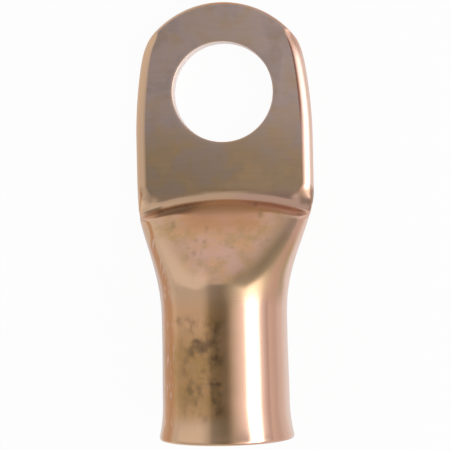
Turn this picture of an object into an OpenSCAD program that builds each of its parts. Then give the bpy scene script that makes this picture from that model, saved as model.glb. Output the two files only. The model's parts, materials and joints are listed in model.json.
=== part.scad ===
// Copper cable lug: a thick tube, belled at its mouth and pressed flat at the other end.
// The palm lies on the XY plane with the stud hole on the Z axis. The barrel runs
// along -Y from there, and the rim of its belled mouth touches the same plane.

/* [Barrel] */
// Outside diameter of the tube
barrel_od = 12.8; // [12:0.1:14]
// Wall thickness of the tube
wall = 1.5; // [1.2:0.05:1.8]
// Length of the round barrel, from its mouth to the neck
barrel_length = 12.1; // [9:0.1:30]

/* [Mouth] */
// Length of the belled end
bell_length = 4; // [2:0.1:5]
// How far the belled end would stand out from the barrel if its rim were not rounded
bell_rise = 0.6; // [0.3:0.05:0.8]
// Radius on both edges of the rim
rim_round = 0.3; // [0.1:0.05:0.5]

/* [Neck] */
// Distance from the centre of the stud hole to the neck
hole_to_neck = 10.4; // [9:0.1:16]
// Length over which the tube widens into the palm
neck_length = 13.2; // [12.5:0.1:18]
// How late the tube widens along the neck: 2 is even, more is later
neck_ease = 2.6; // [2:0.1:3]
// Slope of the pressed ramp that comes down from the top of the barrel
ramp_angle = 45; // [42:1:52]
// Height of the step between the foot of the ramp and the palm
step_height = 3.45; // [2.8:0.05:4]
// How far the step leans back in the middle, between its foot and its top
step_lean = 1.2; // [0.9:0.05:1.5]
// Slope of the step at its sides
step_angle = 76; // [73:1:82]
// Distance from the widest point of the neck back to the foot of the step
step_setback = 0.85; // [0.5:0.05:1.5]
// Fillet between the step and the face of the palm
step_fillet = 1.2; // [0.6:0.1:1.3]
// Radius of the arch that the foot of the step makes, seen from above
step_arch = 27; // [20:1:60]
// How far the round shoulders stand above the top of the step
shoulder_rise = 1.8; // [1.2:0.1:2.4]

/* [Palm] */
// Width of the palm at the neck
palm_width = 18.5; // [17:0.1:21]
// Thickness of the palm, two walls pressed together
palm_thickness = 3.1; // [2.4:0.05:3.6]
// How far the rounded sides would stand above each pressed face
side_crown = 0.35; // [0.15:0.05:0.6]
// Fullness of the rounded sides: 2 is an ellipse, more is squarer
side_fullness = 4.2; // [3:0.1:6]
// Radius along which the sides draw in towards the tip
side_arc = 48; // [30:1:120]
// Distance behind the centre of the stud hole where the sides start to draw in
side_arc_start = 5; // [2:0.5:8]
// Metal between the stud hole and the tip
tip_margin = 4.1; // [2.5:0.1:7]
// How much the radius of the tip exceeds half the palm's width
tip_fullness = 0.4; // [0.05:0.05:1]
// Bevel along the upper edge of the tip
tip_bevel = 0.3; // [0.1:0.05:0.6]

/* [Stud hole] */
// Diameter of the stud hole
stud_hole_d = 10.5; // [6.4:0.1:11]
// Bevel left by the punch round the upper edge of the stud hole
hole_bevel = 0.15; // [0.05:0.05:0.4]

/* [Smoothness] */
// Points round each section of the neck and palm
section_points = 48; // [36:12:84]
// Points round each section of the cavity
cavity_points = 32; // [24:8:48]
// Sections along the neck
neck_sections = 22; // [14:2:30]

/* [Hidden] */
$fn = 96;

copper = [0.72, 0.45, 0.30];

// Overlap of pieces that are joined, and reach of cutters past the metal
weld = 1;
reach = 5;
// Step by which an overlapping end stays inside the surface it joins
tuck = 0.02;
// Steps in each arc of a profile
arc_steps = 8;

barrel_r = barrel_od / 2;
bore_r = barrel_r - wall;
palm_half = palm_width / 2;
hole_r = stud_hole_d / 2;

// Arc of the bell, tangent to the barrel, and how the rounded rim meets it
bell_r = (bell_length ^ 2 + bell_rise ^ 2) / (2 * bell_rise);
bell_centre = [barrel_r + bell_r, bell_length];
rim_run = sqrt((bell_r + rim_round) ^ 2 - (bell_length - rim_round) ^ 2);
rim_r = bell_centre.x - rim_run + rim_round;

// Heights: the rim of the mouth and the back of the palm both touch z = 0
axis_z = rim_r;
barrel_top = axis_z + barrel_r;
step_top = palm_thickness + step_height;
crown_top = palm_thickness + side_crown;

// Stations along the lug, from the neck back to the mouth
y_neck = -hole_to_neck;
y_step = y_neck - step_setback;
y_step_top = y_step - step_lean;
y_ramp_top = y_step_top - (barrel_top - step_top) / tan(ramp_angle);
y_barrel = y_neck - neck_length;
y_mouth = y_barrel - barrel_length;

// The unpressed top line of the tube falls along this stretch
nose_lead = 1;
nose_overrun = 0.6;
y_nose = y_ramp_top - nose_lead;
y_nose_end = y_neck + nose_overrun;
nose_length = y_nose_end - y_nose;
nose_curve = 1.7;
// How late the round section turns into the full one
fullness_delay = 6;
// Past this station the shoulders have come down to the palm's sides
y_shoulder = y_neck + 0.2;

// Sloping middle of the step, from the top of the fillet up
lean_foot = [y_step - step_fillet / tan(step_angle), palm_thickness + step_fillet];
lean_slope = (step_top - lean_foot.y) / (lean_foot.x - y_step_top);

// The cavity ends where the two walls meet
slit = 0.2;
y_cavity_end = lean_foot.x
    - (palm_thickness / 2 + wall * norm([1, lean_slope]) - lean_foot.y) / lean_slope;
cavity_sections = 12;

// Tip of the palm
tip_r = palm_half + tip_fullness;
y_tip = hole_r + tip_margin;
y_tip_centre = y_tip - tip_r;
palm_sections = 8;

function clamp01(t) = max(0, min(1, t));
function ease(t, power) = t ^ power * (power + 1 - power * t);
function blend(a, b, t) = a + (b - a) * t;
function signed_pow(v, p) = sign(v) * pow(abs(v), p);
function arc(centre, r, from, to) = [
    for (i = [0:arc_steps])
        let (a = blend(from, to, i / arc_steps))
        centre + r * [cos(a), sin(a)]
];

// How far the neck (in width) and the nose (in height) have changed at y, from 0 to 1
function neck_part(y) = ease(clamp01((y - y_barrel) / neck_length), neck_ease);
function nose_part(y) = clamp01((y - y_nose) / nose_length);

// Outline of the unpressed tube
function draw_in(y) = side_arc - sqrt(side_arc ^ 2 - max(0, y + side_arc_start) ^ 2);
function half_width(y) = blend(barrel_r, palm_half, neck_part(y)) - draw_in(y);
function nose_line(y) = blend(barrel_top, crown_top, nose_part(y) ^ nose_curve);
function shoulder_line(y) =
    let (t = max(0, y_shoulder - y) / (y_shoulder - y_step_top))
    crown_top + (step_top + shoulder_rise - crown_top) * t ^ 3;
function top_line(y) = min(nose_line(y), shoulder_line(y));
function bottom_line(y) = blend(axis_z - barrel_r, -side_crown, neck_part(y));
function fullness(y) = blend(2, side_fullness, nose_part(y) ^ fullness_delay);

// Pressed surfaces along the middle of the lug
function ramp_line(y) = step_top + (y_step_top - y) * tan(ramp_angle);
function step_line(y) = lean_foot.y + (lean_foot.x - y) * lean_slope;

// Cavity, one wall inside the tube and inside the pressed surfaces
function cavity_top(y) = min(
    top_line(y) - wall,
    ramp_line(y) - wall / cos(ramp_angle),
    step_line(y) - wall * norm([1, lean_slope])
);
function cavity_bottom(y) = blend(axis_z - bore_r, palm_thickness / 2, neck_part(y));

// One closed section: a superellipse, round at exponent 2 and fuller above it
function section(y, half, bottom, top, exponent, points) = [
    for (i = [0:points - 1])
        let (a = 360 * i / points)
        [
            half * signed_pow(cos(a), 2 / exponent),
            y,
            (top + bottom) / 2 + (top - bottom) / 2 * signed_pow(sin(a), 2 / exponent)
        ]
];

function tube_section(y, inset = 0) =
    let (half = half_width(y) - inset, bottom = bottom_line(y) + inset, top = top_line(y) - inset)
    section(y, half, bottom, top, fullness(y), section_points);

function cavity_section(y, inset = 0) =
    let (half = half_width(y) - wall - inset, bottom = cavity_bottom(y) + inset)
    let (top = max(cavity_top(y) - inset, bottom + slit))
    section(y, half, bottom, top, fullness(y), cavity_points);

// Solid through a row of sections with equal numbers of points
module loft(rings) {
    n = len(rings[0]);
    last = len(rings) - 1;
    sides = [
        for (r = [0:last - 1], i = [0:n - 1])
            let (a = r * n + i, b = r * n + (i + 1) % n)
            each [[a, b, b + n], [a, b + n, a + n]]
    ];
    start_cap = [for (i = [n - 1:-1:0]) i];
    end_cap = [for (i = [0:n - 1]) last * n + i];
    polyhedron([for (ring = rings) each ring], [start_cap, each sides, end_cap]);
}

// The tube from just inside the barrel to past the tip, flattened but not yet pressed
module flattened_tube() {
    loft([
        [for (p = tube_section(y_barrel, tuck)) p - [0, weld, 0]],
        tube_section(y_barrel, tuck),
        for (i = [1:neck_sections]) tube_section(blend(y_barrel, y_shoulder, i / neck_sections)),
        for (i = [1:palm_sections]) tube_section(blend(y_shoulder, y_tip + weld, i / palm_sections))
    ]);
}

// What the tapering cavity takes out behind the cable's bore
module neck_cavity() {
    loft([
        [for (p = cavity_section(y_barrel, tuck)) p - [0, weld, 0]],
        cavity_section(y_barrel, tuck),
        for (i = [1:cavity_sections])
            cavity_section(blend(y_barrel, y_cavity_end, sin(90 * i / cavity_sections)))
    ]);
}

// Turns a profile of radius and distance from the mouth about the barrel's axis
module about_barrel() {
    translate([0, y_mouth, axis_z])
        rotate([-90, 0, 0])
            rotate_extrude()
                children();
}

module barrel() {
    lean = atan2(bell_length - rim_round, rim_run);
    about_barrel()
        polygon([
            [0, 0],
            each arc([rim_r - rim_round, rim_round], rim_round, -90, lean),
            each arc(bell_centre, bell_r, 180 + lean, 180),
            [barrel_r, barrel_length],
            [0, barrel_length]
        ]);
}

module cable_bore() {
    inner_r = bell_r + wall;
    run = sqrt((inner_r - rim_round) ^ 2 - (bell_length - rim_round) ^ 2);
    lean = atan2(bell_length - rim_round, run);
    rim_x = bell_centre.x - run;
    about_barrel()
        polygon([
            [0, -weld],
            [rim_x, -weld],
            each arc([rim_x, rim_round], rim_round, 270, 180 + lean),
            each arc(bell_centre, inner_r, 180 + lean, 180),
            [bore_r, barrel_length],
            [0, barrel_length]
        ]);
}

// What the die takes off above the ramp and the leaning middle of the step
module ramp_cut() {
    lap = 0.3;
    width = palm_width + 2 * reach;
    high = ramp_line(y_ramp_top - reach);
    rotate([90, 0, 90])
        linear_extrude(width, center = true)
            polygon([
                [y_ramp_top - reach, high],
                [y_step_top, step_top],
                lean_foot,
                lean_foot + [lap, 0],
                [lean_foot.x + lap, high]
            ]);
}

// What the die takes off above the palm, up to the arched and filleted step
module palm_cut() {
    span = 120;
    high = barrel_top + reach;
    fillet_centre = [step_arch + step_fillet * tan(step_angle / 2), palm_thickness + step_fillet];
    far = step_arch - y_step + y_tip + reach;
    translate([0, y_step - step_arch, 0])
        rotate([0, 0, 90 - span / 2])
            rotate_extrude(angle = span)
                polygon([
                    [step_arch - (high - palm_thickness) / tan(step_angle), high],
                    each arc(fillet_centre, step_fillet, 270 - step_angle, 270),
                    [far, palm_thickness],
                    [far, high]
                ]);
}

// What the flat anvil takes off under the neck and palm
module back_cut() {
    translate([-palm_half - reach, y_barrel, -reach])
        cube([palm_width + 2 * reach, y_tip + reach - y_barrel, reach]);
}

// What the shear takes off round the tip
module tip_cut() {
    difference() {
        translate([-palm_half - reach, y_tip_centre, -reach])
            cube([palm_width + 2 * reach, tip_r + reach, crown_top + 2 * reach]);
        translate([0, y_tip_centre, 0])
            rotate_extrude()
                polygon([
                    [0, -2 * reach],
                    [tip_r, -2 * reach],
                    [tip_r, palm_thickness - tip_bevel],
                    [tip_r - tip_bevel, palm_thickness],
                    [tip_r - tip_bevel, crown_top + 2 * reach],
                    [0, crown_top + 2 * reach]
                ]);
    }
}

module stud_hole() {
    translate([0, 0, -reach])
        cylinder(h = palm_thickness + 2 * reach, r = hole_r);
    translate([0, 0, palm_thickness - hole_bevel])
        cylinder(h = 2 * hole_bevel, r1 = hole_r, r2 = hole_r + 2 * hole_bevel);
}

module cable_lug() {
    color(copper)
        difference() {
            union() {
                barrel();
                flattened_tube();
            }
            ramp_cut();
            palm_cut();
            back_cut();
            tip_cut();
            stud_hole();
            cable_bore();
            neck_cavity();
        }
}

cable_lug();
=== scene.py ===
import json
import math

import bpy
import numpy as np
from mathutils import Matrix, Vector


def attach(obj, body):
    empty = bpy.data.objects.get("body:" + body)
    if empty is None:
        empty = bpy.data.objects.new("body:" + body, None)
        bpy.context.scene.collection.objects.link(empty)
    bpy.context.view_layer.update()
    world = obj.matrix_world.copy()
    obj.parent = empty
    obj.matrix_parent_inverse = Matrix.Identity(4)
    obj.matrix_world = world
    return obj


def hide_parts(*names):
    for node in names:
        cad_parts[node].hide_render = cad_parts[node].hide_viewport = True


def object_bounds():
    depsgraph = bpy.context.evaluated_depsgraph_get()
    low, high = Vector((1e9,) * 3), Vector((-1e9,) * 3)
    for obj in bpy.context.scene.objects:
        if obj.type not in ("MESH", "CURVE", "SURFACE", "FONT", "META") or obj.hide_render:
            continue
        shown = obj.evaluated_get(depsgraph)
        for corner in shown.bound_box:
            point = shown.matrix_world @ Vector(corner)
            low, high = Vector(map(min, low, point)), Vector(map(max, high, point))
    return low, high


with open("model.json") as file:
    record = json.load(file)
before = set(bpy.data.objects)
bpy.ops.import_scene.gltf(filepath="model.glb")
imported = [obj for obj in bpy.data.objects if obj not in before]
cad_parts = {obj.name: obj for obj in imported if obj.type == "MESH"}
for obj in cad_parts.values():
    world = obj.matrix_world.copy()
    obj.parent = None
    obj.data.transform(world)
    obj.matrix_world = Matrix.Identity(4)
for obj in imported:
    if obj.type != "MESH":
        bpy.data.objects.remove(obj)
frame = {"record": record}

cad_low, cad_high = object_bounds()

# ---------------------------------------------------------------- sizes, in millimetres
MM = 0.001
MOUNTS = {m["name"]: m for m in frame["record"]["mounts"]}

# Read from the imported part
HOLE_R = MOUNTS["stud_hole"]["dims"]["r_mm"]
BORE_R = MOUNTS["cable_barrel"]["dims"]["r_mm"]
AXIS_Z = MOUNTS["cable_barrel"]["pos_m"][2] / MM
PALM_T = MOUNTS["palm_face"]["pos_m"][2] / MM
PALM_HALF = cad_high.x / MM
Y_TIP = cad_high.y / MM
Y_MOUTH = cad_low.y / MM

# The barrel and its belled mouth
WALL = 1.5
BARREL_R = BORE_R + WALL
BARREL_FLARE = 0.08
FLARE_START = -25.0
FLARE_LENGTH = 7.0
BELL_LENGTH = 3.9
BELL_RISE = 0.47
RIM_ROUND = 0.3

# The neck, where the tube is pressed down and spreads out
NECK_LENGTH = 13.2
NECK_EASE = 2.6
Y_NECK = -10.4
NOSE_LEAD = 1.0
NOSE_CURVE = 1.7
NOSE_OVERRUN = 0.6
FULLNESS_DELAY = 6
SHOULDER_OVERRUN = 0.2
SHOULDER_RISE = 1.8
SHOULDER_CURVE = 3
SHOULDER_BLEND = 0.6
SHOULDER_BLEND_RUN = 1.5
LEAST_BLEND = 0.001
SLIT = 0.2

# The ramp and the step that the press leaves
RAMP_SLOPE = math.tan(math.radians(45))
CLEAR_SLOPE = 3.0
STEP_HEIGHT = 3.45
STEP_RUN = 2.14
STEP_MIN_RUN = 1.75
STEP_RUN_BLEND = 0.4
Y_FOOT = -10.31
STEP_FILLET = 1.25
STEP_ARCH = 27.0

# The palm's sides, its tip and its punched hole
SIDE_CROWN = 0.35
SIDE_FULLNESS = 4.2
SIDE_ARC = 48.0
SIDE_ARC_START = 5.0
TIP_FULLNESS = 0.4
TIP_SHOULDER = 2.5
TIP_DRAW = 0.012
TIP_DRAW_RUN = 3.2
TIP_BEVEL = 0.3
TIP_BURR = 0.1
HOLE_ROLL = 0.7
HOLE_ROLL_CURVE = 1.5
HOLE_SINK = 0.06
HOLE_SINK_CURVE = 2.6
HOLE_BEVEL = 0.12

# Worked out from those
BARREL_TOP = AXIS_Z + BARREL_R
STEP_TOP = PALM_T + STEP_HEIGHT
CROWN_TOP = PALM_T + SIDE_CROWN
Y_STEP_TOP = Y_FOOT - STEP_RUN
Y_RAMP_TOP = Y_STEP_TOP - (BARREL_TOP - STEP_TOP) / RAMP_SLOPE
Y_BARREL = Y_NECK - NECK_LENGTH
Y_NOSE = Y_RAMP_TOP - NOSE_LEAD
NOSE_LENGTH = Y_NECK + NOSE_OVERRUN - Y_NOSE
Y_SHOULDER = Y_NECK + SHOULDER_OVERRUN
TIP_R = PALM_HALF + TIP_FULLNESS
Y_TIP_CENTRE = Y_TIP - TIP_R

# How softly the pressed surfaces round over: crisp on the palm, softer on the neck
PALM_EDGE = 0.03
BACK_EDGE = 0.15
NECK_EDGE = 0.6
SHOULDER_EDGE = 1.7
CORNER_EDGE = 1.6
CREST_EDGE = 2.0
CREST_END_EDGE = 0.5

# Where those change: how far from the middle each change begins, and over what distance
CREST_CHANGE = (1.5, 3.5)
NECK_CHANGE = (0.6, 2.0)
CORNER_CHANGE = (6.6, 1.2)

# Along the lug, from the crest of the step: where the palm's edge begins, and the soft corner's reach
PALM_CHANGE_RUN = 2.0
CORNER_REACH = 2.2


# ---------------------------------------------------------------- shape of the lug
def smooth(t):
    t = np.clip(t, 0, 1)
    return t * t * (3 - 2 * t)


def blend(a, b, t):
    return a + (b - a) * t


def change(x, start, run):
    """Goes smoothly from 0 to 1 while the distance from the middle goes from start to start + run."""
    return smooth((np.abs(x) - start) / run)


def signed_pow(v, p):
    return np.sign(v) * np.abs(v) ** p


def soft_min(a, b, width):
    overlap = np.clip(width - np.abs(a - b), 0, None)
    return np.minimum(a, b) - overlap * overlap / (4 * width)


def neck_part(y):
    """How much of the neck's spreading is done: 0 on the barrel, 1 on the palm."""
    t = np.clip((y - Y_BARREL) / NECK_LENGTH, 0, 1)
    return t ** NECK_EASE * (NECK_EASE + 1 - NECK_EASE * t)


def nose_part(y):
    """The same for the way down from the barrel's top to the palm's crowned sides."""
    return np.clip((y - Y_NOSE) / NOSE_LENGTH, 0, 1)


def barrel_radius(y):
    """The barrel widens very slightly from the neck to the bell."""
    return BARREL_R + BARREL_FLARE * smooth((FLARE_START - y) / FLARE_LENGTH)


def half_width(y):
    draw_in = SIDE_ARC - np.sqrt(SIDE_ARC ** 2 - np.clip(y + SIDE_ARC_START, 0, None) ** 2)
    draw_in = draw_in + TIP_DRAW * np.clip(y - TIP_SHOULDER, 0, TIP_DRAW_RUN) ** 3
    return blend(barrel_radius(y), PALM_HALF, neck_part(y)) - draw_in


def top_line(y):
    nose = blend(AXIS_Z + barrel_radius(y), CROWN_TOP, nose_part(y) ** NOSE_CURVE)
    t = np.clip(Y_SHOULDER - y, 0, None) / (Y_SHOULDER - Y_STEP_TOP)
    shoulder = CROWN_TOP + (STEP_TOP + SHOULDER_RISE - CROWN_TOP) * t ** SHOULDER_CURVE
    width = LEAST_BLEND + SHOULDER_BLEND * smooth((Y_SHOULDER - y) / SHOULDER_BLEND_RUN)
    return soft_min(nose, shoulder, width)


def bottom_line(y):
    return blend(AXIS_Z - barrel_radius(y), -SIDE_CROWN, neck_part(y))


def fullness(y):
    """The power of the section's oval: 2 is a circle or an ellipse, and more is squarer."""
    return blend(2, SIDE_FULLNESS, nose_part(y) ** FULLNESS_DELAY)


def run_for_angle(angle):
    """How far back the step's crest is from its foot, when its wall has this angle."""
    return STEP_FILLET * np.tan(angle / 2) + STEP_HEIGHT / np.tan(angle)


# The wall's angle is looked up by its run: the steeper the wall, the shorter the run
WALL_ANGLES = np.radians(np.linspace(88, 50, 200))
WALL_RUNS = run_for_angle(WALL_ANGLES)


def arch(x):
    """How far the foot of the step lies back from its middle."""
    return STEP_ARCH - np.sqrt(STEP_ARCH ** 2 - x ** 2)


def step_surface(x, y):
    """The pressed palm and the wall behind it: its foot is arched, and its crest is straight."""
    foot = Y_FOOT - arch(x)
    run = foot - Y_STEP_TOP
    run = -soft_min(-run, 0 * run - STEP_MIN_RUN, STEP_RUN_BLEND)
    angle = np.interp(run, WALL_RUNS, WALL_ANGLES)
    behind = foot - y
    arc = STEP_FILLET * np.sin(angle)
    on_arc = np.clip(behind, 0, arc)
    fillet = PALM_T + STEP_FILLET - np.sqrt(STEP_FILLET ** 2 - on_arc ** 2)
    return fillet + np.clip(behind - arc, 0, None) * np.tan(angle)


def ramp_surface(y):
    """The ramp from the top of the barrel down to the step."""
    return STEP_TOP + (Y_STEP_TOP - y) * RAMP_SLOPE


def pressed_surface(x, y):
    """The palm, the step and the ramp. In front of the foot the ramp turns up, clear of the palm."""
    clear = ramp_surface(Y_FOOT) + (y - Y_FOOT) * CLEAR_SLOPE
    ramp = np.where(y < Y_FOOT, ramp_surface(y), clear)
    width = blend(CREST_EDGE, CREST_END_EDGE, change(x, *CREST_CHANGE))
    return soft_min(step_surface(x, y), ramp, width)


def edge_width(x, y):
    """Crisp on the palm, soft on the neck, softest where the step runs out at the sides."""
    neck_edge = blend(NECK_EDGE, SHOULDER_EDGE, change(x, *NECK_CHANGE))
    width = blend(neck_edge, PALM_EDGE, smooth((y - Y_STEP_TOP) / PALM_CHANGE_RUN))
    corner = change(x, *CORNER_CHANGE) * smooth(1 - np.abs(y - Y_STEP_TOP) / CORNER_REACH)
    return blend(width, CORNER_EDGE, corner)


# ---------------------------------------------------------------- mesh of the lug
# Points round half of a section: bottom, side, top
BOTTOM_POINTS = 20
SIDE_POINTS = 44
TOP_POINTS = 44
RING = 2 * (BOTTOM_POINTS + SIDE_POINTS + TOP_POINTS)

# A half section is worked out at all these angles, and then thinned to those points
HALF_ANGLES = np.linspace(-math.pi / 2, math.pi / 2, 1500)

# A crease lies no further up or down than this angle, and is evened out over about this distance
LATEST_CREASE = math.radians(60)
CREASE_SPREAD = 0.6

# The rows near the step follow its arch, by this much of its run at most, from this far in front
ARCH_SHARE = 0.6
ARCH_FADE = 3.0

# Rows along the lug: from, to and how far apart
ROWS = (
    (Y_TIP + 1, Y_FOOT + 2, 0.45),
    (Y_FOOT + 2, Y_FOOT + 0.3, 0.12),
    (Y_FOOT + 0.3, Y_STEP_TOP - 1.6, 0.07),
    (Y_STEP_TOP - 1.6, Y_RAMP_TOP - 2.5, 0.2),
    (Y_RAMP_TOP - 2.5, Y_BARREL, 0.3),
    (Y_BARREL, Y_MOUTH + BELL_LENGTH, 0.6),
)
BORE_ROW = (Y_MOUTH + BELL_LENGTH + 0.8, Y_BARREL, 1.2)
CAVITY_ROWS = 22

# Points on the mouth's arcs: outside of the bell, each half of the rim, inside of the bell
BELL_POINTS = 16
RIM_POINTS = 9
BELL_INSIDE_POINTS = 14

# The cutters: how far they reach past the palm's faces and its tip, and their points
CUTTER_REACH = 3.0
CUTTER_OUT = 6.0
HOLE_SIDES = 192
HOLE_EDGE_POINTS = 14
TIP_SIDES = 180
TIP_EDGE_POINTS = 9

# Edges that turn by more than this stay sharp
SHARP_ANGLE = math.radians(38)


def arch_shift(row, x):
    """Moves a row back towards its ends, so that the rows near the step follow its arch."""
    behind = np.clip((row - Y_STEP_TOP) / (Y_FOOT - Y_STEP_TOP), 0, 1)
    ahead = np.clip((Y_FOOT + ARCH_FADE - row) / ARCH_FADE, 0, 1)
    return np.minimum(arch(x), STEP_RUN * ARCH_SHARE) * np.minimum(behind, ahead)


def half_path(row):
    """The right half of a row's section, from bottom to top, and the angles of its two creases."""
    c, s = np.cos(HALF_ANGLES), np.sin(HALF_ANGLES)
    c[0] = c[-1] = 0
    x0 = half_width(np.array(row)) * signed_pow(c, 2 / fullness(np.array(row)))
    y = row - arch_shift(row, x0)
    power = 2 / fullness(y)
    x = half_width(y) * signed_pow(c, power)
    top, bottom = top_line(y), bottom_line(y)
    z = (top + bottom) / 2 + (top - bottom) / 2 * signed_pow(s, power)
    pressed = pressed_surface(x, y)
    over = np.flatnonzero(z > pressed)
    under = np.flatnonzero((HALF_ANGLES < 0) & (z < 0))
    high = min(HALF_ANGLES[over[0]] if len(over) else LATEST_CREASE, LATEST_CREASE)
    low = max(HALF_ANGLES[under[-1]] if len(under) else -LATEST_CREASE, -LATEST_CREASE)
    width = edge_width(x, y)
    z = soft_min(z, pressed, width)
    z = -soft_min(-z, 0 * z, np.minimum(width, BACK_EDGE))
    return np.stack([x, y, z], axis=1), low, high


def smoothed(values, rows, spread):
    """Evens out values over neighbouring rows."""
    rows, values = np.array(rows), np.array(values)
    weight = np.exp(-(((rows[:, None] - rows[None, :]) / spread) ** 2) / 2)
    return weight @ values / weight.sum(axis=1)


def resample(path, low, high):
    """Thins a half section to its points, which lie closest together at the two creases."""
    steps = np.linalg.norm(np.diff(path, axis=0), axis=1)
    along = np.concatenate([[0], np.cumsum(steps)])
    low_at = np.interp(low, HALF_ANGLES, along)
    high_at = np.interp(high, HALF_ANGLES, along)
    quarter = np.linspace(0, math.pi / 2, BOTTOM_POINTS + 1)
    half = np.linspace(0, math.pi, SIDE_POINTS + 1)
    last = np.linspace(0, math.pi / 2, TOP_POINTS + 1)
    stops = np.concatenate([
        low_at * np.sin(quarter)[:-1],
        low_at + (high_at - low_at) * (1 - np.cos(half))[:-1] / 2,
        high_at + (along[-1] - high_at) * (1 - np.cos(last)),
    ])
    return np.stack([np.interp(stops, along, path[:, i]) for i in range(3)], axis=1)


def whole_section(half):
    """Mirrors a half section into a closed ring."""
    left = half[-2:0:-1] * [-1, 1, 1]
    return np.concatenate([half, left])


def spaced(start, end, step):
    count = max(2, int(round(abs(end - start) / step)) + 1)
    return list(np.linspace(start, end, count))[:-1]


def outer_rings():
    rows = [y for row in ROWS for y in spaced(*row)]
    paths, lows, highs = zip(*(half_path(y) for y in rows))
    lows, highs = smoothed(lows, rows, CREASE_SPREAD), smoothed(highs, rows, CREASE_SPREAD)
    return [whole_section(resample(*each)) for each in zip(paths, lows, highs)]


def round_ring(radius, y):
    """A ring about the barrel's axis whose points match those of the last outer ring."""
    reference = whole_section(resample(*half_path(Y_BARREL - 1)))
    angle = np.arctan2(reference[:, 2] - AXIS_Z, reference[:, 0])
    return np.stack([radius * np.cos(angle), np.full(RING, y), AXIS_Z + radius * np.sin(angle)], axis=1)


def arc_points(centre, radius, start, end, count):
    angles = np.linspace(start, end, count)
    return [(centre[0] + radius * math.cos(a), centre[1] + radius * math.sin(a)) for a in angles]


def mouth_rings():
    """The bell, the rounded rim and the bell's inside, as radius and distance from the mouth."""
    bell_r = (BELL_LENGTH ** 2 + BELL_RISE ** 2) / (2 * BELL_RISE)
    inner_r = bell_r + WALL + BARREL_FLARE
    centre = BARREL_R + BARREL_FLARE + bell_r
    rise = BELL_LENGTH - RIM_ROUND
    run_out = math.sqrt((bell_r + RIM_ROUND) ** 2 - rise ** 2)
    run_in = math.sqrt((inner_r - RIM_ROUND) ** 2 - rise ** 2)
    lean_out, lean_in = math.atan2(rise, run_out), math.atan2(rise, run_in)
    profile = arc_points((centre, BELL_LENGTH), bell_r, math.pi, math.pi + lean_out, BELL_POINTS)
    profile += arc_points((centre - run_out, RIM_ROUND), RIM_ROUND, lean_out, -math.pi / 2, RIM_POINTS)[1:]
    rim_inside = (1.5 * math.pi, math.pi + lean_in)
    profile += arc_points((centre - run_in, RIM_ROUND), RIM_ROUND, *rim_inside, RIM_POINTS)
    bell_inside = (math.pi + lean_in, math.pi)
    profile += arc_points((centre, BELL_LENGTH), inner_r, *bell_inside, BELL_INSIDE_POINTS)[1:]
    return [round_ring(r, Y_MOUTH + d) for r, d in profile]


def cavity_ring(y):
    """The cavity inside the neck, which narrows to a slit between the pressed walls."""
    bottom = blend(AXIS_Z - BORE_R, PALM_T / 2, neck_part(y))
    top = min(top_line(y) - WALL, ramp_surface(y) - WALL * math.hypot(1, RAMP_SLOPE))
    top = max(top, bottom + SLIT)
    reference = round_ring(1, 0)
    c, s = reference[:, 0], reference[:, 2] - AXIS_Z
    power = 2 / fullness(y)
    x = (half_width(y) - WALL) * signed_pow(c, power)
    z = (top + bottom) / 2 + (top - bottom) / 2 * signed_pow(s, power)
    return np.stack([x, np.full(RING, y), z], axis=1)


def inner_rings():
    turns = np.sin(np.linspace(0, math.pi / 2, CAVITY_ROWS))
    bore = [round_ring(BORE_R, y) for y in spaced(*BORE_ROW)]
    return bore + [cavity_ring(blend(Y_BARREL, Y_STEP_TOP, t)) for t in turns]


def mesh_object(name, points, faces):
    mesh = bpy.data.meshes.new(name)
    mesh.from_pydata((np.asarray(points) * MM).tolist(), [], faces)
    mesh.validate()
    obj = bpy.data.objects.new(name, mesh)
    bpy.context.scene.collection.objects.link(obj)
    return obj


def loft(name, rings):
    """A closed solid through rings with equal numbers of points."""
    n = len(rings[0])
    faces = [tuple(reversed(range(n)))]
    for r in range(len(rings) - 1):
        for i in range(n):
            a, b = r * n + i, r * n + (i + 1) % n
            faces.append((a, b, b + n, a + n))
    faces.append(tuple(range((len(rings) - 1) * n, len(rings) * n)))
    return mesh_object(name, np.concatenate(rings), faces)


def flip_if_inside_out(obj):
    """Turns the faces round where the volume that they enclose comes out negative."""
    mesh = obj.data
    co = np.empty(len(mesh.vertices) * 3)
    mesh.vertices.foreach_get("co", co)
    co = co.reshape(-1, 3)
    mesh.calc_loop_triangles()
    tri = np.empty(len(mesh.loop_triangles) * 3, dtype=np.int64)
    mesh.loop_triangles.foreach_get("vertices", tri)
    a, b, c = (co[tri.reshape(-1, 3)[:, i]] for i in range(3))
    if np.einsum("ij,ij->i", a, np.cross(b, c)).sum() < 0:
        mesh.flip_normals()


def hole_cutter():
    """The punched hole, with the rolled-over edge that the punch leaves on the upper face."""
    profile = [(HOLE_R + HOLE_BEVEL, -CUTTER_REACH), (HOLE_R + HOLE_BEVEL, 0.0), (HOLE_R, HOLE_BEVEL)]
    for u in np.linspace(0, 1, HOLE_EDGE_POINTS):
        r = HOLE_R + HOLE_ROLL * u ** HOLE_ROLL_CURVE
        profile.append((r, PALM_T - HOLE_SINK * (1 - u) ** HOLE_SINK_CURVE))
    profile.append((HOLE_R + HOLE_ROLL, PALM_T + CUTTER_REACH))
    angles = np.linspace(0, 2 * math.pi, HOLE_SIDES, endpoint=False)
    rings = [[(r * math.cos(a), r * math.sin(a), z) for a in angles] for r, z in profile]
    return loft("hole_cutter", rings)


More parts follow.
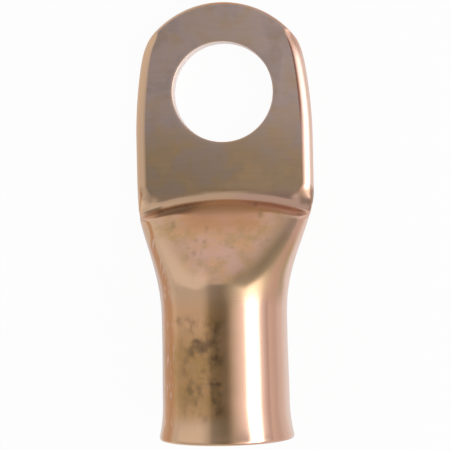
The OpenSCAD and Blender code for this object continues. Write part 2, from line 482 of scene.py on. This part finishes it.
def tip_cutter():
    """Everything outside the sheared arc of the tip."""
    low, high, out = -CUTTER_REACH, PALM_T + CUTTER_REACH, TIP_R + CUTTER_OUT
    profile = [(TIP_R - TIP_BURR, low), (TIP_R - TIP_BURR, 0.0), (TIP_R, TIP_BURR)]
    bevel_centre = (TIP_R - TIP_BEVEL, PALM_T - TIP_BEVEL)
    profile += arc_points(bevel_centre, TIP_BEVEL, 0, math.pi / 2, TIP_EDGE_POINTS)
    profile += [(TIP_R - TIP_BEVEL, high), (out, high), (out, low)]
    angles = np.linspace(0, math.pi, TIP_SIDES)
    rings = [[(r * math.cos(a), Y_TIP_CENTRE + r * math.sin(a), z) for r, z in profile] for a in angles]
    return loft("tip_cutter", rings)


def apply_modifiers(obj):
    graph = bpy.context.evaluated_depsgraph_get()
    mesh = bpy.data.meshes.new_from_object(obj.evaluated_get(graph))
    obj.modifiers.clear()
    old = obj.data
    obj.data = mesh
    bpy.data.meshes.remove(old)


def cut(obj, cutter):
    flip_if_inside_out(cutter)
    modifier = obj.modifiers.new("cut", "BOOLEAN")
    modifier.operation = "DIFFERENCE"
    modifier.solver = "EXACT"
    modifier.object = cutter
    apply_modifiers(obj)
    bpy.data.objects.remove(cutter)


def build_lug():
    lug = loft("lug", outer_rings() + mouth_rings() + inner_rings())
    flip_if_inside_out(lug)
    cut(lug, hole_cutter())
    cut(lug, tip_cutter())
    lug.data.polygons.foreach_set("use_smooth", [True] * len(lug.data.polygons))
    lug.data.set_sharp_from_angle(angle=SHARP_ANGLE)
    return lug


# ---------------------------------------------------------------- materials
class Nodes:
    """Short calls for building a node tree. A socket or a plain value can be given for any input."""

    def __init__(self, tree):
        self.tree = tree

    def add(self, kind, inputs=None, **settings):
        made = self.tree.nodes.new(kind)
        for key, value in settings.items():
            setattr(made, key, value)
        for key, value in (inputs or {}).items():
            self.put(made.inputs[key], value)
        return made

    def put(self, socket, value):
        if isinstance(value, bpy.types.NodeSocket):
            self.tree.links.new(value, socket)
        else:
            socket.default_value = value

    def math(self, operation, a, b=0.0, clamp=False):
        inputs = {0: a, 1: b}
        return self.add("ShaderNodeMath", inputs, operation=operation, use_clamp=clamp).outputs[0]

    def times(self, *values):
        product = values[0]
        for value in values[1:]:
            product = self.math("MULTIPLY", product, value)
        return product

    def vector(self, operation, a, b=(0, 0, 0)):
        made = self.add("ShaderNodeVectorMath", {0: a, 1: b}, operation=operation)
        return made.outputs["Value" if operation == "LENGTH" else "Vector"]

    def split(self, vector):
        return self.add("ShaderNodeSeparateXYZ", {0: vector}).outputs

    def step(self, value, start, end, low=0.0, high=1.0):
        """A smooth change from low to high while the value goes from start to end."""
        inputs = {0: value, 1: start, 2: end, 3: low, 4: high}
        return self.add("ShaderNodeMapRange", inputs, interpolation_type="SMOOTHSTEP").outputs[0]

    def noise(self, at, stretch=(1, 1, 1), size=1.0, detail=3.0, rough=0.55, warp=0.0):
        """Noise whose blotches are about size millimetres across, drawn out by stretch."""
        scaled = self.vector("MULTIPLY", at, tuple(1 / (size * k) for k in stretch))
        inputs = {"Vector": scaled, "Scale": 1.0, "Detail": detail, "Roughness": rough, "Distortion": warp}
        return self.add("ShaderNodeTexNoise", inputs).outputs["Fac"]

    def mix(self, fac, a, b, blend_type="MIX"):
        made = self.add("ShaderNodeMix", {0: fac, 6: a, 7: b}, data_type="RGBA", blend_type=blend_type)
        return made.outputs[2]

    def mix_value(self, fac, a, b):
        return self.add("ShaderNodeMix", {0: fac, 2: a, 3: b}, data_type="FLOAT").outputs[0]


def new_material(name):
    material = bpy.data.materials.new(name)
    material.use_nodes = True
    nodes = Nodes(material.node_tree)
    return material, nodes, material.node_tree.nodes["Principled BSDF"]


TAN = (0.74, 0.42, 0.20, 1)
OCHRE = (0.62, 0.37, 0.15, 1)
ORANGE = (0.76, 0.38, 0.20, 1)
SALMON = (0.80, 0.50, 0.38, 1)
SAND = (0.84, 0.56, 0.37, 1)
GLOWING = (0.92, 0.54, 0.30, 1)
ROSE = (0.92, 0.57, 0.44, 1)
MOSS = (0.68, 0.44, 0.22, 1)
PALE = (0.88, 0.64, 0.53, 1)
OLIVE = (0.58, 0.40, 0.25, 1)
REFLECTION_ORANGE = (0.66, 0.30, 0.13, 1)
BROWN = (0.25, 0.165, 0.105, 1)
RUSSET = (0.66, 0.36, 0.25, 1)
UMBER = (0.26, 0.16, 0.09, 1)
MAROON = (0.30, 0.11, 0.07, 1)
SATIN = (0.74, 0.56, 0.505, 1)
PALE_HOLE_REFLECTION = (0.96, 0.84, 0.80, 1)

BARREL_ROUGHNESS = 0.17
NECK_ROUGHNESS = 0.24
DISH_ROUGHNESS = 0.38
PALM_ROUGHNESS = 0.40

# Patches on the top, tarnish along the barrel and darker and pinker patches nearer the step: place and
# reach along X and Y in millimetres, strength and colour
SPOTS = (
    (-5.6, -14.2, 1.90, 1.30, 0.95, MOSS),
    (-4.6, -15.4, 1.10, 1.00, 0.70, MOSS),
    (2.6, -17.0, 1.40, 0.90, 0.50, SALMON),
    (-1.8, -17.4, 1.30, 0.80, 0.40, SALMON),
    (-2.4, -25.3, 0.55, 0.45, 0.85, UMBER),
    (-1.7, -26.3, 0.70, 0.75, 0.80, UMBER),
    (-0.6, -25.6, 0.90, 1.00, 0.55, UMBER),
    (-0.7, -27.1, 0.80, 0.60, 0.85, UMBER),
    (-0.8, -29.6, 1.50, 0.35, 0.90, UMBER),
    (-4.2, -23.4, 0.60, 0.90, 0.45, UMBER),
    (-3.2, -23.2, 0.50, 0.60, 0.40, UMBER),
    (-3.7, -28.6, 1.20, 1.60, 0.30, UMBER),
    (-3.0, -31.2, 1.60, 1.00, 0.35, UMBER),
    (3.9, -12.9, 0.60, 0.45, 0.45, UMBER),
    (3.3, -11.9, 0.30, 0.35, 0.50, UMBER),
    (-5.0, -13.7, 0.45, 0.75, 0.40, UMBER),
    (-1.5, -14.2, 0.40, 0.60, 0.35, UMBER),
    (-1.6, -15.6, 0.35, 0.45, 0.35, UMBER),
    (-2.5, -15.4, 0.35, 0.35, 0.30, UMBER),
    (-2.6, -16.6, 0.40, 0.55, 0.28, UMBER),
)


class Places:
    """Where a point is on the lug, in millimetres. A mask is 1 inside its place and 0 outside it."""

    def __init__(self, n):
        coordinates = n.add("ShaderNodeTexCoord").outputs
        self.point = n.vector("MULTIPLY", coordinates["Object"], (1 / MM, 1 / MM, 1 / MM))
        self.x, self.y, self.z = n.split(self.point)
        normal_x, self.normal_y, normal_z = n.split(coordinates["Normal"])
        self.sideways = n.math("ABSOLUTE", normal_x)
        self.off_middle = n.math("ABSOLUTE", self.x)
        self.right = n.step(self.x, -0.5, 3.0)
        self.left = n.step(self.x, 1.0, -1.0)
        self.upper = n.step(self.z, 2.4, 3.6)

        # How far a point lies under the ramp's plane: 0 on the dish, more on the shoulders
        ramp_z = n.math("ADD", n.times(n.math("SUBTRACT", Y_STEP_TOP, self.y), RAMP_SLOPE), STEP_TOP)
        self.under_ramp = n.math("SUBTRACT", ramp_z, self.z)
        self.on_shoulder = n.step(self.under_ramp, 0.3, 0.9)
        self.on_dish = n.times(n.step(self.under_ramp, 1.6, 0.3), n.step(self.y, -20.0, -17.5))

        neck_y = n.math("SUBTRACT", self.y, n.times(self.right, 1.5))
        self.on_neck = n.step(neck_y, -23.3, -19.5)
        # Where the right shoulder meets the barrel: rougher, and darkened there as painted shade
        self.dull_and_shaded = n.times(
            n.step(self.y, -22.6, -19.8), self.on_shoulder, n.step(self.x, -0.5, 1.5), n.step(self.z, 7, 10)
        )
        self.on_step = n.times(n.step(self.normal_y, 0.72, 0.9), n.step(self.y, -14, -12.8))
        self.corner = n.times(
            n.step(self.y, -10.0, -10.6), n.step(self.y, -12.2, -11.6), n.step(self.x, 7.6, 8.1)
        )

        flat = n.math("ABSOLUTE", normal_z)
        self.past_step = n.step(self.y, -11.2, -10.2)
        self.on_palm = n.times(self.past_step, n.step(flat, 0.93, 0.99))
        from_hole = n.vector("LENGTH", n.vector("MULTIPLY", self.point, (1, 1, 0)))
        self.in_hole = n.times(n.step(from_hole, HOLE_R + 0.3, HOLE_R + 0.1), n.step(flat, 0.5, 0.3))

        self.blotch = n.noise(self.point, size=2.2, detail=2)
        self.mottle = n.noise(self.point, size=1.6, detail=2, rough=0.5)
        self.fine = n.noise(self.point, size=0.8, detail=4, rough=0.6)


def barrel_colour(n, at):
    """Tan on the left, glowing towards both ends, and salmon on the right, with a stain along the top."""
    colour = n.mix(n.step(at.blotch, 0.3, 0.7), TAN, OCHRE)
    colour = n.mix(n.times(n.step(at.fine, 0.5, 0.75), 0.4), colour, OLIVE)
    towards_ends = n.step(n.math("ABSOLUTE", n.math("ADD", at.y, 28.3)), 1.5, 5.0)
    less_at_mouth = n.step(at.y, -34, -25, 0.5, 1.0)
    glowing = n.times(towards_ends, n.step(at.x, -1.0, -2.0), less_at_mouth)
    colour = n.mix(glowing, colour, GLOWING)
    colour = n.mix(at.right, colour, SALMON)
    stained_x = n.times(n.step(at.x, -4.6, -2.6), n.step(at.x, 1.0, -0.4))
    stained_y = n.times(n.step(at.y, -34.5, -32.5), n.step(at.y, -22.0, -24.5))
    patches = n.step(n.noise(at.point, stretch=(1, 1.5, 1), size=1.1, detail=3, rough=0.5), 0.42, 0.72)
    return n.mix(n.times(at.upper, stained_x, stained_y, patches, 0.8), colour, UMBER)


def neck_colour(n, at):
    """Tan and pink on the dish, orange painted shade below the step, an olive painted dark reflection
    beside the dish on the right, and plainer shoulders; on the right shoulder, darker ochre towards the
    barrel is painted shade.
    """
    dish = n.mix(n.step(at.blotch, 0.36, 0.66), ROSE, GLOWING)
    dish = n.mix(n.times(n.step(at.mottle, 0.40, 0.72), 0.6), dish, MOSS)
    dish = n.mix(n.times(n.step(at.fine, 0.56, 0.72), 0.3), dish, OLIVE)
    # Painted shade: orange on the dish just below the step
    below_step = n.times(n.step(at.y, -15.2, -13.6), n.step(at.off_middle, 5.0, 2.5))
    dish = n.mix(n.times(below_step, 0.7), dish, ORANGE)
    # Painted shade: darker ochre on the right shoulder towards the barrel
    right_shoulder = n.mix(n.times(at.upper, n.step(at.y, -14.5, -17.0)), SALMON, OCHRE)
    shoulder = n.mix(at.right, SAND, right_shoulder)
    colour = n.mix(n.step(at.under_ramp, 0.2, 0.9), dish, shoulder)
    # Painted dark reflection: an olive line beside the dish on the right
    beside_dish = n.times(n.step(at.under_ramp, 0.1, 0.5), n.step(at.under_ramp, 1.4, 0.8))
    dark_line = n.times(beside_dish, n.step(at.x, 1.0, 3.0))
    return n.mix(n.times(dark_line, 0.4), colour, OLIVE)


def with_neck_end(n, at, colour):
    """Painted shade where the right shoulder runs onto the barrel: olive on the dull patch, umber further
    out.
    """
    colour = n.mix(n.times(at.dull_and_shaded, 0.8), colour, OLIVE)
    outer = n.times(n.step(at.x, 2.4, 4.2), n.step(at.z, 5, 8))
    shaded = n.times(n.step(at.y, -22.6, -20.4), at.on_shoulder, outer)
    return n.mix(n.times(shaded, 0.2), colour, UMBER)


def with_bell(n, at, colour):
    # Painted light: the bell's left side is made paler sand, as if lit where it flares
    on_bell = n.times(n.step(at.y, -32.4, -34.0), n.step(at.x, 2.0, -1.0))
    return n.mix(n.times(on_bell, 0.8), colour, SAND)


def with_side_reflections(n, at, colour):
    """Painted reflections along each rounded side: a dark line just inside, with painted glints on the
    left, and a pale painted reflection at the edge outside it.
    """
    lean = n.math("ADD", at.sideways, n.times(n.step(at.y, -16.5, -13.7, 0, 0.27), at.left))
    lean = n.math("ADD", lean, n.times(at.right, 0.07))
    line = n.times(n.step(lean, 0.71, 0.80), n.step(lean, 0.95, 0.89), n.mix_value(at.right, 0.85, 0.6))
    colour = n.mix(line, colour, n.mix(at.right, REFLECTION_ORANGE, RUSSET))
    # Painted glints: pale specks along the left line
    glints = n.step(n.noise(at.point, stretch=(1, 4, 1), size=0.45, detail=2), 0.56, 0.66)
    colour = n.mix(n.times(line, glints, at.left, 0.8), colour, PALE)
    # Painted reflection: the pale edge outside the line
    pale_from = n.mix_value(at.on_neck, 0.90, 0.86)
    return n.mix(n.step(n.math("SUBTRACT", at.sideways, pale_from), 0.0, 0.08), colour, PALE)


def with_palm_sides(n, at, colour):
    """The palm's rounded sides, the right one paler as painted light where the highlight runs, and the
    brown corner where the right one meets the step, which is painted shade.
    """
    on_side = n.times(n.step(at.y, -10.6, -9.6), n.step(at.sideways, 0.02, 0.2))
    # Painted light: the right side is paler where the highlight runs along it
    right_side = n.mix(n.step(at.y, 3.2, 4.8), PALE, SALMON)
    colour = n.mix(on_side, colour, n.mix(at.right, SAND, right_side))
    # Painted shade: brown in the corner where the right side meets the step
    return n.mix(n.times(at.corner, 0.6), colour, BROWN)


def with_step_wall(n, at, colour):
    """The step's wall has a painted highlight at the top and a painted shadow at the foot, darkest towards
    the left, with a tail of painted shade at the far left.
    """
    strength = n.mix_value(n.step(at.x, 1.0, 4.0), 0.08, 0.42)
    strength = n.mix_value(n.step(at.x, -4.2, -0.8), 1.0, strength)
    strength = n.times(strength, n.step(at.fine, 0.3, 0.55, 0.85, 1.0))
    dark_to = n.mix_value(n.step(at.x, -4.6, -1.0), 6.6, 4.9)
    uneven_z = n.math("ADD", at.z, n.times(at.fine, 1.5))
    foot = n.step(n.math("SUBTRACT", uneven_z, dark_to), 1.6, -0.4)
    foot = n.times(foot, n.step(at.off_middle, 7.6, 6.4))
    above_foot = n.times(at.on_step, n.math("SUBTRACT", 1.0, foot), 0.8)
    # Painted highlight: a pale band on the wall above its foot
    colour = n.mix(above_foot, colour, n.mix(n.step(at.off_middle, 5.5, 6.8), SAND, PALE))
    # Painted shadow: brown at the foot of the wall
    colour = n.mix(n.times(at.on_step, foot, strength), colour, BROWN)
    # Painted shade: an umber tail at the wall's left end
    tail_x = n.times(n.step(at.x, -6.2, -6.9), n.step(at.x, -8.7, -8.0))
    tail = n.times(n.step(at.normal_y, 0.45, 0.62), tail_x, n.step(at.z, 4.0, 3.6))
    return n.mix(n.times(tail, 0.8), colour, UMBER)


def with_spots(n, at, colour):
    for spot_x, spot_y, reach_x, reach_y, strength, stain in SPOTS:
        away = n.vector("SUBTRACT", at.point, (spot_x, spot_y, 0))
        away = n.vector("LENGTH", n.vector("MULTIPLY", away, (1 / reach_x, 1 / reach_y, 0)))
        away = n.math("ADD", away, n.times(at.fine, 2.2))
        colour = n.mix(n.times(at.upper, n.step(away, 2.1, 0.9, 0, strength)), colour, stain)
    return colour


def palm_colour(n, at):
    """Satin at the tip and olive towards the step, with clouds and a fine grain across."""
    cloud = n.noise(at.point, size=4.0, detail=3, warp=0.4)
    grain = n.noise(at.point, stretch=(9, 1, 1), size=0.3, detail=2)
    olive_part = n.math("ADD", n.step(at.y, 0, -9.5), n.step(cloud, 0.38, 0.62, -0.3, 0.3), clamp=True)
    colour = n.mix(olive_part, SATIN, OLIVE)
    colour = n.mix(n.times(n.step(at.mottle, 0.46, 0.70), 0.35), colour, MOSS)
    shade = n.math("ADD", n.step(cloud, 0.38, 0.62, 0.90, 1.08), n.step(grain, 0.2, 0.8, -0.03, 0.03))
    # Painted light: the palm is darker towards the left and lighter towards the right
    shade = n.times(shade, n.step(at.x, -9, 9, 0.93, 1.09))
    grey = n.add("ShaderNodeCombineXYZ", {0: shade, 1: shade, 2: shade}).outputs[0]
    return n.mix(1.0, colour, grey, "MULTIPLY")


def with_creases(n, at, colour):
    """The thin dark line of painted shade along each side of the palm, where the flat face turns into the
    rounded side.
    """
    turning = n.times(n.step(at.sideways, 0.03, 0.10), n.step(at.sideways, 0.36, 0.26))
    crease = n.times(at.past_step, n.step(at.off_middle, 6.4, 7.2), turning)
    strength = n.mix_value(at.right, 0.22, n.step(at.y, -5.0, -1.0, 0.45, 0.9))
    return n.mix(n.times(crease, strength), colour, n.mix(at.right, UMBER, MAROON))


def roughness(n, at):
    polished = n.mix_value(at.on_neck, BARREL_ROUGHNESS, NECK_ROUGHNESS)
    satin = n.math("MAXIMUM", at.dull_and_shaded, n.math("MAXIMUM", at.corner, at.on_dish))
    body = n.mix_value(satin, polished, DISH_ROUGHNESS)
    return n.mix_value(at.on_palm, body, PALM_ROUGHNESS)


def copper_material():
    material, n, shader = new_material("copper")
    at = Places(n)
    colour = n.mix(at.on_neck, barrel_colour(n, at), neck_colour(n, at))
    for paint in (with_neck_end, with_bell, with_side_reflections, with_palm_sides, with_step_wall):
        colour = paint(n, at, colour)
    # Painted reflection: the hole's wall is pale, as if mirroring the white surroundings
    colour = n.mix(at.in_hole, colour, PALE_HOLE_REFLECTION)
    colour = with_spots(n, at, colour)
    colour = n.mix(at.on_palm, colour, palm_colour(n, at))
    colour = with_creases(n, at, colour)
    n.put(shader.inputs["Base Color"], colour)
    n.put(shader.inputs["Roughness"], roughness(n, at))
    shader.inputs["Metallic"].default_value = 1
    return material


lug = build_lug()
lug.data.materials.append(copper_material())
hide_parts("cable_lug")
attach(lug, "root")


# ---------------------------------------------------------------- stage, light and camera
# The floor: half its side in millimetres, its shade and its roughness
FLOOR_HALF = 600
FLOOR_SHADE = 0.9
FLOOR_ROUGHNESS = 0.9

# How much of the floor shows as plain white: to the camera, and in reflections near the lug,
# where it fades in between two distances from the middle line, in metres
WHITE_TO_CAMERA = 0.955
WHITE_IN_REFLECTIONS = 0.42
REFLECTED_FROM = 0.03
REFLECTED_TO = 0.012

# Brightness of the studio's walls, where 1 is white, and what each place adds to it
WALL_LEVEL = 0.52
OVERHEAD_LEVEL = 0.22
GLOW = 0.6
BRIGHT_CORNER = 0.22
DIM_CORNER = -0.16

# How far the glow leans across for each radian along
GLOW_SLANT = -0.15

# The strip light: where it is in degrees, how far off and how large in metres, and how bright
STRIP_ACROSS = 55
STRIP_ALONG = -9
STRIP_TILT = -8
STRIP_DISTANCE = 0.4
STRIP_WIDTH = 0.185
STRIP_LENGTH = 0.38
STRIP_LEVEL = 2.6
LIT_POINT = Vector((0, -14, 6)) * MM

# The camera: the point it looks at, how far off it is, its turns and its lens
AIM = Vector((0.2, -13.9, 6.0)) * MM
CAMERA_DISTANCE = 194.0
YAW = math.radians(4.5)
ROLL = math.radians(1.3)
SENSOR = 36
LENS = 151.28
CLIP_START = 0.01


def white_floor():
    """A floor that the camera sees as nearly plain white, with a trace of the shadow."""
    material, n, shader = new_material("floor")
    shader.inputs["Base Color"].default_value = (FLOOR_SHADE, FLOOR_SHADE, FLOOR_SHADE, 1)
    shader.inputs["Roughness"].default_value = FLOOR_ROUGHNESS
    path = n.add("ShaderNodeLightPath").outputs
    reflected = n.math("MAXIMUM", path["Is Glossy Ray"], path["Is Transmission Ray"])
    beside = n.math("ABSOLUTE", n.split(n.add("ShaderNodeTexCoord").outputs["Object"])[0])
    near_lug = n.step(beside, REFLECTED_FROM, REFLECTED_TO, 0.0, WHITE_IN_REFLECTIONS)
    share = n.math("ADD", n.times(reflected, near_lug), n.times(path["Is Camera Ray"], WHITE_TO_CAMERA))
    white = n.add("ShaderNodeEmission", {"Color": (1, 1, 1, 1), "Strength": 1.0})
    mixed = n.add("ShaderNodeMixShader", {0: share, 1: shader.outputs[0], 2: white.outputs[0]})
    n.put(n.tree.nodes["Material Output"].inputs["Surface"], mixed.outputs[0])
    return material


def add_floor():
    corners = [(-1, -1), (1, -1), (1, 1), (-1, 1)]
    floor = mesh_object("floor", [(x * FLOOR_HALF, y * FLOOR_HALF, 0) for x, y in corners], [(0, 1, 2, 3)])
    floor.data.materials.append(white_floor())


def studio_world():
    """Pale walls all round, darker overhead where the camera hangs."""
    world = bpy.data.worlds.new("studio")
    world.use_nodes = True
    n = Nodes(world.node_tree)
    way = n.vector("NORMALIZE", n.add("ShaderNodeTexCoord").outputs["Generated"])
    east, north, up = n.split(way)
    across = n.math("ARCTAN2", east, up)
    along = n.math("ARCSINE", north)

    def band(value, start, end, soft_start, soft_end):
        """1 between two angles in degrees, falling to 0 over the soft edge outside each."""
        a, b = math.radians(start), math.radians(end)
        rise = n.step(value, a - math.radians(soft_start), a)
        return n.times(rise, n.step(value, b + math.radians(soft_end), b))

    fading_left = n.step(across, math.radians(-22), 0, 0.84, 1.0)
    overhead = n.times(band(across, -20, 4, 9, 17), band(along, -30, 16, 8, 8), fading_left)
    slant = n.math("ADD", across, n.times(along, GLOW_SLANT))
    glow = n.times(band(slant, 43, 61, 34, 36), band(along, -40, 6, 12, 12))
    bright_corner = n.times(band(across, -115, -45, 25, 20), band(along, 10, 55, 12, 14))
    dim_corner = n.times(band(across, 50, 110, 20, 20), band(along, 20, 58, 10, 12))
    level = n.mix_value(overhead, WALL_LEVEL, OVERHEAD_LEVEL)
    for place, added in ((glow, GLOW), (bright_corner, BRIGHT_CORNER), (dim_corner, DIM_CORNER)):
        level = n.math("ADD", level, n.times(place, added))
    background = n.tree.nodes["Background"]
    n.put(background.inputs["Strength"], level)
    background.inputs["Color"].default_value = (1, 1, 1, 1)
    bpy.context.scene.world = world


def add_strip_light():
    """One long light beside the lug, for the highlight along it."""
    data = bpy.data.lights.new("strip", "AREA")
    data.shape = "RECTANGLE"
    data.size, data.size_y = STRIP_WIDTH, STRIP_LENGTH
    data.energy = STRIP_LEVEL * math.pi * STRIP_WIDTH * STRIP_LENGTH
    light = bpy.data.objects.new("strip", data)
    bpy.context.scene.collection.objects.link(light)
    a, b = math.radians(STRIP_ACROSS), math.radians(STRIP_ALONG)
    away = Vector((math.sin(a) * math.cos(b), math.sin(b), math.cos(a) * math.cos(b)))
    side = Vector((0, 1, 0)).cross(away).normalized()
    turn = Matrix((side, away.cross(side), away)).transposed().to_4x4()
    tilt = Matrix.Rotation(math.radians(STRIP_TILT), 4, "Z")
    light.matrix_world = Matrix.Translation(LIT_POINT + away * STRIP_DISTANCE) @ turn @ tilt
    light.visible_camera = False


def add_camera():
    """It looks straight down, a little from the right, with the lug leaning a little in the frame."""
    data = bpy.data.cameras.new("camera")
    data.sensor_width = SENSOR
    data.lens = LENS
    data.clip_start = CLIP_START
    camera = bpy.data.objects.new("camera", data)
    bpy.context.scene.collection.objects.link(camera)
    turn = Matrix.Rotation(YAW, 4, "Y") @ Matrix.Rotation(-ROLL, 4, "Z")
    back = (turn @ Vector((0, 0, 1, 0))).to_3d()
    camera.matrix_world = Matrix.Translation(AIM + back * CAMERA_DISTANCE * MM) @ turn
    bpy.context.scene.camera = camera


add_floor()
studio_world()
add_strip_light()
add_camera()
bpy.context.scene.view_settings.view_transform = "Standard"
